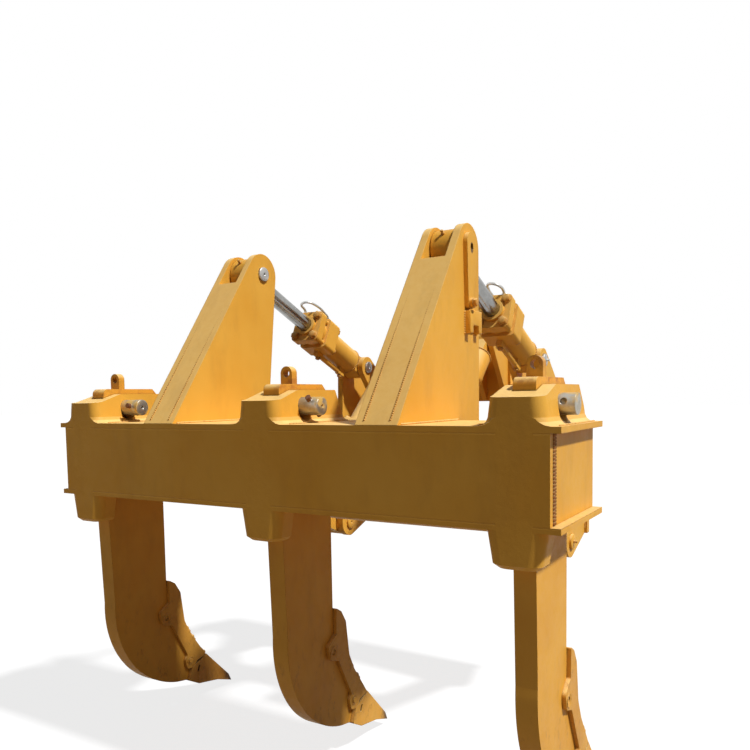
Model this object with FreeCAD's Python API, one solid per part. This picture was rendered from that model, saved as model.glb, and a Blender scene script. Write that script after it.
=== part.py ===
import FreeCAD, Part
import math
import os

os.makedirs("parts", exist_ok=True)
V = FreeCAD.Vector

# A three-shank parallelogram ripper, bolted on by the bracket at its front.
# Pieces are laid out in millimetres from the top rear edge of the beam:
# X along the beam, Y forward to the bracket, Z up. Before they are written
# they move together, so that the origin lies on the bracket's front face.

# Beam, a welded box with overhanging flanges and sunk end plates.
BEAM_LENGTH = 2300
BEAM_DEPTH = 475
BEAM_HEIGHT = 320
FLANGE_T = 20
WEB_T = 25
FLANGE_OVERHANG = 33
END_PLATE_T = 25
END_GROOVE = 24
END_GROOVE_DEPTH = 10

# Pocket castings, one for each shank, with a ramped rim and a rear lip.
POCKET_END_MARGIN = 145
POCKET_HALF_W = 100
POCKET_DRAFT = 17
POCKET_FRONT_MARGIN = 27
RIM_REAR = 88
RIM_FRONT = 126
RAMP_START = 45
RAMP_RISE = 4
RAMP_END = 150
RIM_BEVEL = 43
FOOT_FLARE = 26
LIP_DROP = 121
LIP_LENGTH = 92
LIP_DRAFT = 18
LIP_EDGE = 14
CORNER_R = 40

# Shanks, with the wearing pieces at their tips.
SHANK_T = 75
SHANK_REAR = 95
SHANK_FRONT_MARGIN = 55
SHANK_TOP = 150
SHANK_CORNER = 25
SHANK_BEVEL = 42
SHANK_PIN_Y = 178
SHANK_PIN_Z = 64
SHANK_PIN_R = 35
SHANK_PIN_IN = 20
SHANK_PIN_PLAY = 22
RETAINER_R = 11
RETAINER_L = 104
RETAINER_IN = 37
EYE_W = 56
EYE_T = 32
EYE_H = 70
EYE_Y = 190
EYE_HOLE_R = 15
GUARD_CHEEK = 16
TIP_SIDE = 19
TOOTH_PIN_R = 13
TOOTH_PIN_OUT = 5
TOOTH_SLOT = 34
TIP_POINT_W = 78

# How far each shank's pin stands out, and how far its retainer leans back
# from upright. The right pin has lost its retainer and shows the open hole.
SHANK_PINS = {"left": (90, 78, True), "middle": (75, 47, True), "right": (44, 75, False)}

# The shank's side below the pocket. Each corner is (how far ahead of the
# shank's front face, height, corner radius).
REAR_BEND = ((-310, -846), (-280, -1050), (-186, -1200))
HEEL = ((-186, -1200), (-76, -1285), (51, -1336))
NOSE_BEND = ((0, -800), (24, -960), (80, -1100))
NOSE_END = (170, -1262)
TANG = ((300, -1370), (280, -1392), (140, -1352))
REAR_START = -430
GUARD_SIDE = ((5, -800, 4), (42, -822, 20), (76, -875, 30), (88, -960, 60), (98, -1030, 60),
              (137, -1108, 60), (238, -1247, 0), (176, -1261, 0), (151, -1288, 12),
              (106, -1288, 22), (94, -1238, 22), (112, -1214, 14), (34, -1070, 40),
              (16, -1033, 8), (-46, -1012, 26), (-62, -952, 24), (0, -912, 10))
GUARD_HOLE = (-20, -984)
GUARD_PIN = (130, -1248)
TIP_SIDE_VIEW = ((243, -1247, 0), (419, -1419, 0), (440, -1460, 0), (326, -1417, 60),
                 (180, -1386, 20), (115, -1350, 8), (140, -1285, 0))
TIP_SLOT = (182, -1304)

# Towers and lower ears, cut from one thickness of plate.
PLATE_T = 32
TOWER_INNER = 437
EYE_GAP = 103
ARM_GAP = 112
TOWER_R = 93
TOWER_FOOT = 130
TOWER_GUSSET = 260
TOP_PIN_AHEAD = 115
TOP_PIN_Z = 671
LOW_PIN_AHEAD = 105
LOW_PIN_Z = -236
LOW_EAR_R = 98
COVER_T = 25
COVER_TOP = 620
TOP_PIN_R = 32
LINK_PIN_R = 38
PIN_PROUD = 8
FLAG_T = 18
FLAG_R = 44
FLAG_END_R = 24
FLAG_BACK = 23
FLAG_DROP = 218
FLAG_HOLE_R = 12
FLAG_BOSS_R = 20
FLAG_BOSS_T = 14

# Parallelogram: both links have this length and this slope.
LINK_L = 1000
LINK_SLOPE = 24
ARM_EYE_R = 92
BASE_EYE_R = 76
ARM_BAR_W = 78
ARM_BAR_R = 72
CROSS_R = 100
CROSS_SHARE = 0.48

# Hydraulic cylinders.
TILT_EYE_R = 60
ROD_EYE_R = 78
TILT_BARREL_R = 70
TILT_BORE_R = 56
TILT_ROD_R = 37
TILT_NECK = 88
TILT_HEAD_TO_EYE = 475
TILT_HEAD_L = 190
TILT_STROKE_BACK = 156
TILT_FLANGE = 166
LIFT_X = 250
LIFT_BARREL_R = 68
LIFT_BORE_R = 56
LIFT_ROD_R = 38
LIFT_NECK = 124
LIFT_HEAD_TO_EYE = 268
LIFT_HEAD_L = 132
LIFT_STROKE_BACK = 172
LIFT_FLANGE = 160
LIFT_EYE_R = 62
LIFT_EYE_W = 84
LIFT_TOP_Z = 380
LIFT_TOP_BACK = 190
LIFT_LOW_BACK = 200
LIFT_LOW_UP = 90
LUG_T = 28
LUG_R = 66
FLANGE_PLATE_T = 44
FLANGE_GAP = 38
EYE_NECK = 0.8
STUD_R = 12
STUD_IN = 26
BORE_END_T = 24
PISTON_T = 40
WIPER_R = 16
WIPER_L = 16
PIPE_R = 13
PIPE_LIFT = 26

# Bracket, a bolted plate with cheeks and ears.
BRACKET_REACH = 280
MOUNT_SIDE_MARGIN = 14
MOUNT_TOP = 150
MOUNT_BOTTOM = -640
MOUNT_T = 40
CROWN_HALF_W = 340
CROWN_H = 290
CROWN_BEVEL = 60
WINDOW_HALF_W = 300
WINDOW_TOP = 60
WINDOW_BOTTOM = -470
BOLT_SPACING_Z = 690
BOLT_HOLE_R = 17
TILT_EAR_R = 60
LOW_BASE_R = 80
CHEEK_RISE = 250

# Clearances.
PIN_FIT = 0.5
PRESS_FIT = 0.2
SIDE_GAP = 5
SLIDE_FIT = 0.5
SHANK_FIT = 3
REAR_PLAY = 8

SIDES = (("left", -1), ("right", 1))
SHANKS = (("left", -1), ("middle", 0), ("right", 1))

# Places that follow from the sizes.
POCKET_PITCH = BEAM_LENGTH / 2 - POCKET_END_MARGIN
POCKET_LENGTH = BEAM_DEPTH - POCKET_FRONT_MARGIN
SHANK_FRONT = BEAM_DEPTH - SHANK_FRONT_MARGIN
BEAM_INNER = (-BEAM_HEIGHT + FLANGE_T, -FLANGE_T)
WEB_END = BEAM_LENGTH / 2 - FLANGE_OVERHANG
TOWER_MAIN = TOWER_INNER + PLATE_T + EYE_GAP
OUTER_EAR = TOWER_MAIN + PLATE_T + ARM_GAP
TILT_X = TOWER_INNER + PLATE_T + EYE_GAP / 2
ARM_X = TOWER_MAIN + PLATE_T + ARM_GAP / 2
ARM_W = ARM_GAP - 2 * SIDE_GAP
ROD_EYE_W = EYE_GAP - 2 * SIDE_GAP
LIFT_GAP = LIFT_EYE_W + 2 * SIDE_GAP

SLOPE = math.radians(LINK_SLOPE)
LINK = (LINK_L * math.cos(SLOPE), -LINK_L * math.sin(SLOPE))
TOP_PIN = (BEAM_DEPTH + TOP_PIN_AHEAD, TOP_PIN_Z)
LOW_PIN = (BEAM_DEPTH + LOW_PIN_AHEAD, LOW_PIN_Z)
TILT_BASE = (TOP_PIN[0] + LINK[0], TOP_PIN[1] + LINK[1])
ARM_BASE = (LOW_PIN[0] + LINK[0], LOW_PIN[1] + LINK[1])
CROSS = (LOW_PIN[0] + CROSS_SHARE * LINK[0], LOW_PIN[1] + CROSS_SHARE * LINK[1])
MOUNT_Y = ARM_BASE[0] + BRACKET_REACH
MOUNT_BACK = MOUNT_Y - MOUNT_T
MOUNT_MID = (MOUNT_TOP + MOUNT_BOTTOM) / 2
MOUNT_HALF_W = OUTER_EAR + PLATE_T + MOUNT_SIDE_MARGIN
SHOULDER_HALF_W = TOWER_MAIN + PLATE_T + MOUNT_SIDE_MARGIN
LIFT_TOP = (MOUNT_Y - LIFT_TOP_BACK, LIFT_TOP_Z)
LIFT_LOW = (CROSS[0] - LIFT_LOW_BACK, CROSS[1] + LIFT_LOW_UP)


# Plane helpers.
def point(axis, at, u, v):
    if axis == "x":
        return V(at, u, v)
    if axis == "y":
        return V(u, at, v)
    return V(u, v, at)


def closed(axis, at, path):
    """A wire from stretches: two points for a line, three for an arc."""
    edges = []
    for stretch in path:
        pts = [point(axis, at, *p) for p in stretch]
        if (pts[0] - pts[-1]).Length < 1e-6:
            continue
        edges.append(Part.Arc(*pts).toShape() if len(pts) == 3 else Part.makeLine(*pts))
    return Part.Wire(edges)


def wrap(circles):
    """A belt round circles (u, v, r) that are listed anticlockwise."""
    normals = []
    for (u1, v1, r1), (u2, v2, r2) in zip(circles, circles[1:] + circles[:1]):
        length = math.hypot(u2 - u1, v2 - v1)
        du, dv = (u2 - u1) / length, (v2 - v1) / length
        c = (r1 - r2) / length
        s = math.sqrt(1 - c * c)
        normals.append(math.atan2(dv * c - du * s, du * c + dv * s))
    path = []
    for i, (u, v, r) in enumerate(circles):
        a0, a1 = normals[i - 1], normals[i]
        turn = (a1 - a0) % (2 * math.pi)
        spot = lambda a: (u + r * math.cos(a), v + r * math.sin(a))
        if r > 0:
            path.append((spot(a0), spot(a0 + turn / 2), spot(a1)))
        u2, v2, r2 = circles[(i + 1) % len(circles)]
        path.append((spot(a1), (u2 + r2 * math.cos(a1), v2 + r2 * math.sin(a1))))
    return path


def rounded(corners):
    """An outline through corners (u, v, radius), with round corners."""
    ends = []
    for i, (u, v, r) in enumerate(corners):
        pu, pv = corners[i - 1][:2]
        nu, nv = corners[(i + 1) % len(corners)][:2]
        a = V(pu - u, pv - v, 0).normalize()
        b = V(nu - u, nv - v, 0).normalize()
        half = a.getAngle(b) / 2
        back = r / math.tan(half)
        middle = (a + b).normalize() * (r / math.sin(half) - r) if r else V()
        ends.append(((u + a.x * back, v + a.y * back), (u + middle.x, v + middle.y),
                     (u + b.x * back, v + b.y * back)))
    path = []
    for i, (start, middle, end) in enumerate(ends):
        if corners[i][2]:
            path.append((start, middle, end))
        path.append((end, ends[(i + 1) % len(ends)][0]))
    return path


def polygon(points):
    return list(zip(points, points[1:] + points[:1]))


def sheet(axis, low, high, path):
    """A flat piece from low to high along an axis."""
    face = Part.Face(closed(axis, low, path))
    return face.extrude(point(axis, high - low, 0, 0))


def box(x, y, z):
    return Part.makeBox(x[1] - x[0], y[1] - y[0], z[1] - z[0], V(x[0], y[0], z[0]))


def rod(r, x0, x1, y, z):
    """A round bar along X."""
    return Part.makeCylinder(r, x1 - x0, V(x0, y, z), V(1, 0, 0))


def both(x, width):
    """The span of a piece whose middle is at x."""
    return x - width / 2, x + width / 2


def mirrored(shape):
    return shape.mirror(V(0, 0, 0), V(1, 0, 0))


def moved(shape, x):
    shape = shape.copy()
    shape.translate(V(x, 0, 0))
    return shape


def sided(shape, side):
    return shape if side > 0 else mirrored(shape)


def one(shape):
    """The shape with joined faces merged, as a single solid where it is one."""
    shape = shape.removeSplitter()
    return shape.Solids[0] if len(shape.Solids) == 1 else shape


NODES = {}


# Beam and pocket castings.
def pocket_plan(z, outset=0):
    """A wire round the casting, seen from above; its sides lean in above the flange."""
    w = POCKET_HALF_W - POCKET_DRAFT * max(0, z) / RIM_FRONT + outset
    front = POCKET_LENGTH + outset
    return closed("z", z, rounded([
        (-w, -outset, CORNER_R + outset), (w, -outset, CORNER_R + outset),
        (w, front, CORNER_R / 2 + outset), (-w, front, CORNER_R / 2 + outset)]))


def pocket_body(x, low, high):
    body = Part.Face(pocket_plan(low)).extrude(V(0, 0, high - low))
    body.translate(V(x, 0, 0))
    return body


def make_beam():
    half = BEAM_LENGTH / 2
    flanges = [box((-half, half), (0, BEAM_DEPTH), z) for z in
               ((-FLANGE_T, 0), (-BEAM_HEIGHT, -BEAM_HEIGHT + FLANGE_T))]
    webs = [box((-WEB_END, WEB_END), y, BEAM_INNER) for y in
            ((0, WEB_T), (BEAM_DEPTH - WEB_T, BEAM_DEPTH))]
    beam = flanges[0].fuse(flanges[1:] + webs)
    for name, side in SIDES:
        plate = box((WEB_END - END_PLATE_T, WEB_END), (WEB_T + END_GROOVE, BEAM_DEPTH - WEB_T),
                    BEAM_INNER)
        sunk = box((WEB_END - END_PLATE_T, WEB_END - END_GROOVE_DEPTH), (WEB_T, WEB_T + END_GROOVE),
                   BEAM_INNER)
        beam = beam.fuse([sided(plate, side), sided(sunk, side)])
    for name, side in SHANKS:
        beam = beam.cut(pocket_body(side * POCKET_PITCH, -BEAM_HEIGHT - 1, 1))
    NODES["beam"] = one(beam)


def make_pocket(name, x):
    profile = [(0, 0, 0), (POCKET_LENGTH, 0, 0), (POCKET_LENGTH - RIM_BEVEL, RIM_FRONT, 0),
               (RAMP_END, RIM_FRONT, CORNER_R), (RAMP_START, RIM_REAR + RAMP_RISE, CORNER_R),
               (0, RIM_REAR, 0)]
    side_view = sheet("x", -2 * POCKET_HALF_W, 2 * POCKET_HALF_W, rounded(profile))
    above = Part.makeLoft([pocket_plan(0), pocket_plan(RIM_FRONT + 1)], True, True).common(side_view)
    within = pocket_body(0, -BEAM_HEIGHT, 0)
    # The foot flares onto the flange in a hollow curve of three facets.
    flare = [pocket_plan(FOOT_FLARE * rise, FOOT_FLARE * out)
             for rise, out in ((0, 1), (0.15, 0.5), (0.5, 0.15), (1, 0))]
    foot = Part.makeLoft(flare, True, True)
    foot = foot.common(box((-2 * POCKET_HALF_W, 2 * POCKET_HALF_W), (0, 2 * POCKET_LENGTH),
                           (0, FOOT_FLARE)))
    lip_low = -BEAM_HEIGHT - LIP_DROP
    lip = Part.makeLoft([lip_plan(-BEAM_HEIGHT, 0), lip_plan(lip_low + LIP_EDGE, LIP_DRAFT),
                         lip_plan(lip_low, LIP_DRAFT + LIP_EDGE)], True, True)
    shape = above.fuse([within, foot, lip])
    half = SHANK_T / 2 + SHANK_FIT
    shape = shape.cut(box((-half, half), (SHANK_REAR - REAR_PLAY, SHANK_FRONT + SHANK_FIT),
                          (-2 * BEAM_HEIGHT, 2 * RIM_FRONT)))
    # The pin's hole is oblong, so that the shank can be let down onto it.
    hole = wrap([(SHANK_PIN_Y, SHANK_PIN_Z, SHANK_PIN_R + PIN_FIT),
                 (SHANK_PIN_Y, SHANK_PIN_Z - SHANK_PIN_PLAY, SHANK_PIN_R + PIN_FIT)])
    shape = shape.cut(sheet("x", -2 * POCKET_HALF_W, 2 * POCKET_HALF_W, hole))
    NODES["pocket_" + name] = moved(one(shape), x)


def lip_plan(z, inset):
    """A wire round the lip below the beam, drawn in on three sides."""
    w = POCKET_HALF_W - inset
    rear = max(0, inset - LIP_DRAFT)
    return closed("z", z, rounded([(-w, rear, CORNER_R), (w, rear, CORNER_R),
                                   (w, LIP_LENGTH, 0), (-w, LIP_LENGTH, 0)]))


# Shank, guard and tip.
def ahead(spot):
    """A spot given from the shank's front face."""
    return (SHANK_FRONT + spot[0],) + spot[1:]


def shank_side():
    top = SHANK_TOP
    rear_bend, heel, nose_bend = (tuple(ahead(p) for p in bend)
                                  for bend in (REAR_BEND, HEEL, NOSE_BEND))
    corner = SHANK_CORNER * (1 - math.sqrt(0.5))
    lines = [(SHANK_REAR, REAR_START), (SHANK_REAR, top - SHANK_CORNER)]
    path = [tuple(lines),
            (lines[1], (SHANK_REAR + corner, top - corner), (SHANK_REAR + SHANK_CORNER, top))]
    edge = [(SHANK_REAR + SHANK_CORNER, top), (SHANK_FRONT - SHANK_BEVEL, top),
            (SHANK_FRONT, top - SHANK_BEVEL), nose_bend[0]]
    path += list(zip(edge, edge[1:]))
    path.append(nose_bend)
    edge = [nose_bend[2], ahead(NOSE_END)] + [ahead(p) for p in TANG] + [heel[2]]
    path += list(zip(edge, edge[1:]))
    path += [heel[::-1], rear_bend[::-1], (rear_bend[0], lines[0])]
    return path


def pins_through(spot, r, half, out):
    """A pin's two heads, on both sides of a piece."""
    return [rod(r, *sorted((way * half, way * (half + out))), *ahead(spot)) for way in (-1, 1)]


def make_shank(name, x):
    half = SHANK_T / 2
    body = sheet("x", -half, half, shank_side())
    body = body.cut(rod(SHANK_PIN_R + PIN_FIT, -SHANK_T, SHANK_T, SHANK_PIN_Y, SHANK_PIN_Z))
    ring_z = SHANK_TOP + EYE_H - EYE_W / 2
    eye = sheet("y", EYE_Y, EYE_Y + EYE_T, wrap([
        (-EYE_W / 2, SHANK_TOP, 0), (EYE_W / 2, SHANK_TOP, 0), (0, ring_z, EYE_W / 2)]))
    eye = eye.cut(Part.makeCylinder(EYE_HOLE_R, EYE_T, V(0, EYE_Y, ring_z), V(0, 1, 0)))
    body = one(body.fuse(eye))
    NODES["shank_" + name] = moved(body, x)

    cheek = half + GUARD_CHEEK
    guard = sheet("x", -cheek, cheek, rounded([ahead(p) for p in GUARD_SIDE]))
    guard = guard.cut([body, rod(TOOTH_PIN_R, -2 * cheek, 2 * cheek, *ahead(GUARD_HOLE))])
    guard = one(guard.fuse(pins_through(GUARD_PIN, TOOTH_PIN_R, cheek, TOOTH_PIN_OUT)))
    NODES["guard_" + name] = moved(guard, x)

    side = half + TIP_SIDE
    tip = sheet("x", -side, side, rounded([ahead(p) for p in TIP_SIDE_VIEW]))
    point_y, point_z = ahead(TIP_SIDE_VIEW[2])[:2]
    root_y = ahead(TIP_SLOT)[0]
    tip = tip.common(sheet("z", point_z, 0, polygon([
        (-side, 0), (side, 0), (side, root_y), (TIP_POINT_W / 2, point_y),
        (-TIP_POINT_W / 2, point_y), (-side, root_y)])))
    slot_y, slot_z = ahead(TIP_SLOT)
    reach = TOOTH_SLOT / 2 - TOOTH_PIN_R / 2
    lean = (reach * math.sin(SLOPE), reach * math.cos(SLOPE))
    slot = sheet("x", -2 * side, 2 * side, wrap([
        (slot_y - lean[0], slot_z - lean[1], TOOTH_PIN_R / 2),
        (slot_y + lean[0], slot_z + lean[1], TOOTH_PIN_R / 2)]))
    tip = one(tip.cut([body, guard, slot]))
    NODES["tip_" + name] = moved(tip, x)

    out, lean_deg, kept = SHANK_PINS[name]
    end = POCKET_HALF_W + out
    pin = rod(SHANK_PIN_R, -POCKET_HALF_W - SHANK_PIN_IN, end, SHANK_PIN_Y, SHANK_PIN_Z)
    turn = math.radians(lean_deg)
    axis = V(0, -math.sin(turn), math.cos(turn))
    low = V(end - RETAINER_IN, SHANK_PIN_Y, SHANK_PIN_Z) - axis * (RETAINER_L / 2)
    retainer = Part.makeCylinder(RETAINER_R, RETAINER_L, low, axis)
    pin = pin.fuse(retainer) if kept else pin.cut(retainer)
    NODES["shank_pin_" + name] = moved(one(pin), x)


# Towers and lower ears.
def rear_edge(z):
    """The y of the tower's sloped rear edge at height z."""
    lean = math.atan2(TOP_PIN[1], TOP_PIN[0]) + math.asin(TOWER_R / math.hypot(*TOP_PIN))
    return z / math.tan(lean)


def make_tower(name, side):
    top = TOP_PIN + (TOWER_R,)
    low = LOW_PIN + (LOW_EAR_R,)
    foot = (BEAM_DEPTH + TOWER_FOOT, 0, 0)
    in_beam = box((0, OUTER_EAR), (-1, BEAM_DEPTH), (-BEAM_HEIGHT, 0))
    x_in = (TOWER_INNER, TOWER_INNER + PLATE_T)
    inner = sheet("x", *x_in, wrap([(0, 0, 0), foot, top]))
    gusset = sheet("x", *x_in, polygon([(BEAM_DEPTH, -TOWER_GUSSET), foot[:2], (BEAM_DEPTH, 0)]))
    main = sheet("x", TOWER_MAIN, TOWER_MAIN + PLATE_T, wrap([(0, 0, 0), low, top])).cut(in_beam)
    ear = sheet("x", OUTER_EAR, OUTER_EAR + PLATE_T, wrap([
        (BEAM_DEPTH, BEAM_INNER[0], 0), low, (BEAM_DEPTH, BEAM_INNER[1], 0)]))
    y1 = rear_edge(COVER_TOP)
    run = COVER_T / math.sin(math.atan2(COVER_TOP, y1))
    cover = sheet("x", TOWER_INNER + PLATE_T, TOWER_MAIN, polygon([
        (0, 0), (run, 0), (y1 + run, COVER_TOP), (y1, COVER_TOP)]))
    top_bore = rod(TOP_PIN_R + PRESS_FIT, 0, 2 * OUTER_EAR, *TOP_PIN)
    low_bore = rod(LINK_PIN_R + PIN_FIT, 0, 2 * OUTER_EAR, *LOW_PIN)
    NODES["tower_" + name] = sided(one(inner.fuse([gusset, main, cover]).cut([top_bore, low_bore])), side)
    NODES["ear_" + name] = sided(one(ear.cut(low_bore)), side)

    stub = rod(TOP_PIN_R, TOWER_INNER - PIN_PROUD, TOWER_INNER + PLATE_T, *TOP_PIN)
    NODES["tower_stub_" + name] = sided(stub, side)
    x0 = TOWER_MAIN + PLATE_T
    end = (TOP_PIN[0] - FLAG_BACK, TOP_PIN[1] - FLAG_DROP)
    flag = sheet("x", x0, x0 + FLAG_T, wrap([
        end + (FLAG_END_R,), TOP_PIN + (FLAG_R,),
        (TOP_PIN[0] - FLAG_HOLE_R, TOP_PIN[1] + FLAG_HOLE_R, FLAG_R)]))
    flag = flag.cut(rod(FLAG_HOLE_R, x0, x0 + FLAG_T, TOP_PIN[0] - FLAG_HOLE_R, TOP_PIN[1]))
    flag = flag.fuse([rod(TOP_PIN_R, TOWER_MAIN, x0, *TOP_PIN),
                      rod(FLAG_BOSS_R, x0, x0 + FLAG_T + FLAG_BOSS_T, *end)])
    NODES["tower_pin_" + name] = sided(one(flag), side)


# Lower frame: two arms and a cross tube with the lugs of the lift cylinders.
def make_lower_frame():
    pin_span = (TOWER_MAIN - PIN_PROUD, OUTER_EAR + PLATE_T + PIN_PROUD)
    for name, side in SIDES:
        ends = [rod(r, *both(ARM_X, ARM_W), *pin)
                for r, pin in ((ARM_EYE_R, LOW_PIN), (BASE_EYE_R, ARM_BASE))]
        bar = sheet("x", *both(ARM_X, ARM_BAR_W),
                    wrap([LOW_PIN + (ARM_BAR_R,), ARM_BASE + (ARM_BAR_R,)]))
        arm = bar.fuse(ends)
        for pin in (LOW_PIN, ARM_BASE):
            arm = arm.cut(rod(LINK_PIN_R + PIN_FIT, 0, 2 * OUTER_EAR, *pin))
        NODES["arm_" + name] = sided(one(arm), side)
        NODES["rear_pin_" + name] = sided(rod(LINK_PIN_R, *pin_span, *LOW_PIN), side)
        NODES["front_pin_" + name] = sided(rod(LINK_PIN_R, *pin_span, *ARM_BASE), side)
    end = ARM_X - ARM_BAR_W / 2
    shapes = []
    for middle in (-LIFT_X, LIFT_X):
        for way in (-1, 1):
            inner, outer = middle + way * LIFT_GAP / 2, middle + way * (LIFT_GAP / 2 + LUG_T)
            shapes.append(sheet("x", *sorted((inner, outer)), wrap([
                LIFT_LOW + (LUG_R,), CROSS + (CROSS_R - PIN_PROUD,)])))
            shapes.append(rod(TOP_PIN_R, *sorted((inner, outer + way * PIN_PROUD)), *LIFT_LOW))
    NODES["cross_tube"] = one(rod(CROSS_R, -end, end, *CROSS).fuse(shapes))


# Cylinders are drawn along Y from their base pin, then turned into place.
def turned(shape, x, base, tip):
    angle = math.degrees(math.atan2(tip[1] - base[1], tip[0] - base[0]))
    shape.rotate(V(0, 0, 0), V(1, 0, 0), angle)
    shape.translate(V(x, base[0], base[1]))
    return shape


def tube(r, y0, y1, z=0, x=0):
    return Part.makeCylinder(r, y1 - y0, V(x, y0, z), V(0, 1, 0))


def make_cylinder(node, x, base, tip, base_eye, rod_eye, radii, head, stroke_back):
    """base_eye is (radius, width, pin radius, where the barrel starts), rod_eye is
    (radius, width), radii are the barrel's, bore's and rod's, and head is
    (its end to the rod's eye, length, width of its square plates)."""
    eye_r, eye_w, pin_r, neck = base_eye
    barrel_r, bore_r, rod_r = radii
    head_to_eye, head_l, flange = head
    reach = math.hypot(tip[0] - base[0], tip[1] - base[1])
    bore_start = neck + BORE_END_T
    head_end = reach - head_to_eye
    back = head_end - head_l
    front = head_end - WIPER_L - FLANGE_PLATE_T
    pipe_z = barrel_r + PIPE_LIFT
    port = PIPE_R * 2

    eye = rod(eye_r, *both(0, eye_w), 0, 0)
    eye = eye.fuse(box(both(0, eye_w), (0, neck), both(0, 2 * eye_r * EYE_NECK)))
    eye = eye.cut(rod(pin_r + PIN_FIT, *both(0, 2 * eye_w), 0, 0))
    NODES[node % "eye"] = turned(one(eye), x, base, tip)

    half, corner = flange / 2, flange / 8
    square = rounded([(-half, -half, corner), (half, -half, corner),
                      (half, half, corner), (-half, half, corner)])
    barrel = tube(barrel_r, neck, front).fuse([
        sheet("y", back, front - FLANGE_GAP, square), sheet("y", front, front + FLANGE_PLATE_T, square),
        tube(rod_r + WIPER_R, front + FLANGE_PLATE_T, head_end),
        tube(PIPE_R, bore_start + port, back + port, pipe_z),
        box(both(0, port), (bore_start, bore_start + 2 * port), (barrel_r / 2, pipe_z + PIPE_R)),
        box(both(0, port), (back, back + 2 * port), (barrel_r / 2, pipe_z + PIPE_R))])
    stud = half - STUD_IN
    barrel = barrel.fuse([tube(STUD_R, front - FLANGE_GAP, front, z, side)
                          for side in (-stud, stud) for z in (-stud, stud)])
    barrel = barrel.cut([tube(bore_r, bore_start, front), tube(rod_r + SLIDE_FIT, front, head_end)])
    NODES[node % "barrel"] = turned(one(barrel), x, base, tip)

    piston = bore_start + stroke_back
    stem = tube(rod_r, piston, reach).fuse([
        tube(bore_r - SLIDE_FIT, piston, piston + PISTON_T),
        rod(rod_eye[0], *both(0, rod_eye[1]), reach, 0)])
    NODES[node % "rod"] = turned(one(stem), x, base, tip)


def make_cylinders():
    for name, side in SIDES:
        make_cylinder("tilt_%s_" + name, side * TILT_X, TILT_BASE, TOP_PIN,
                      (TILT_EYE_R, ROD_EYE_W, TOP_PIN_R, TILT_NECK), (ROD_EYE_R, ROD_EYE_W),
                      (TILT_BARREL_R, TILT_BORE_R, TILT_ROD_R),
                      (TILT_HEAD_TO_EYE, TILT_HEAD_L, TILT_FLANGE), TILT_STROKE_BACK)
        make_cylinder("lift_%s_" + name, side * LIFT_X, LIFT_TOP, LIFT_LOW,
                      (LIFT_EYE_R, LIFT_EYE_W, TOP_PIN_R, LIFT_NECK), (LIFT_EYE_R, LIFT_EYE_W),
                      (LIFT_BARREL_R, LIFT_BORE_R, LIFT_ROD_R),
                      (LIFT_HEAD_TO_EYE, LIFT_HEAD_L, LIFT_FLANGE), LIFT_STROKE_BACK)
        pin = rod(TOP_PIN_R, TOWER_INNER - PIN_PROUD, TOWER_MAIN + PLATE_T + PIN_PROUD, *TILT_BASE)
        NODES["tilt_pin_" + name] = sided(pin, side)
        span = both(side * LIFT_X, LIFT_GAP + 2 * LUG_T + 2 * PIN_PROUD)
        NODES["lift_pin_" + name] = rod(TOP_PIN_R, *span, *LIFT_TOP)


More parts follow.
